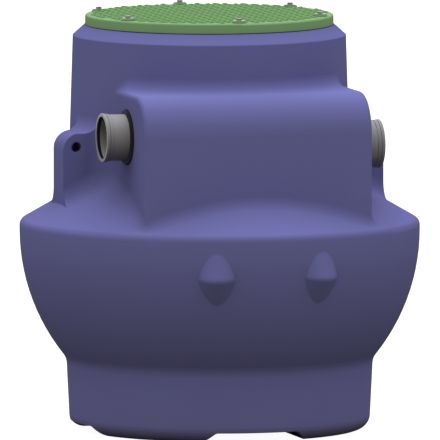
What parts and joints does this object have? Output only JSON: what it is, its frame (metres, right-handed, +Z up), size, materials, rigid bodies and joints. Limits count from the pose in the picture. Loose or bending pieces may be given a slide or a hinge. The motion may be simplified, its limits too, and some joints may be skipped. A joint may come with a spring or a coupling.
{
  "type": "grease separator",
  "caption": "Round moulded plastic grease separator tank with a bolted tread lid, a front housing with inlet and outlet pipe sockets, side lifting lugs and a channelled base.",
  "frame": {"origin": "on the bowl's axis, at the ground under the four feet", "axes": "+Z up, -Y to the front housing, +X to the outlet, -X to the inlet"},
  "size_m": [1.04, 1.048, 1.084],
  "materials": {
    "tank_plastic": "satin moulded polyethylene, violet blue",
    "lid_plastic": "matte moulded polyethylene, pale green",
    "pipe_plastic": "smooth grey polypropylene",
    "rubber": "matte black rubber",
    "stainless": "plain stainless steel",
    "brass": "plain turned brass"
  },
  "bodies": {
    "root": {"tank_body": "tank_plastic", "lid": "lid_plastic", "lid_gasket": "rubber", "bolt_insert_1": "brass", "lid_washer_1": "stainless", "lid_bolt_1": "stainless", "bolt_insert_2": "brass", "lid_washer_2": "stainless", "lid_bolt_2": "stainless", "bolt_insert_3": "brass", "lid_washer_3": "stainless", "lid_bolt_3": "stainless", "bolt_insert_4": "brass", "lid_washer_4": "stainless", "lid_bolt_4": "stainless", "bolt_insert_5": "brass", "lid_washer_5": "stainless", "lid_bolt_5": "stainless", "bolt_insert_6": "brass", "lid_washer_6": "stainless", "lid_bolt_6": "stainless", "inlet_seal": "rubber", "inlet_socket": "pipe_plastic", "inlet_lip_ring": "rubber", "outlet_seal": "rubber", "outlet_socket": "pipe_plastic", "outlet_lip_ring": "rubber", "inlet_baffle_tee": "pipe_plastic", "outlet_dip_tee": "pipe_plastic"}
  },
  "joints": []
}
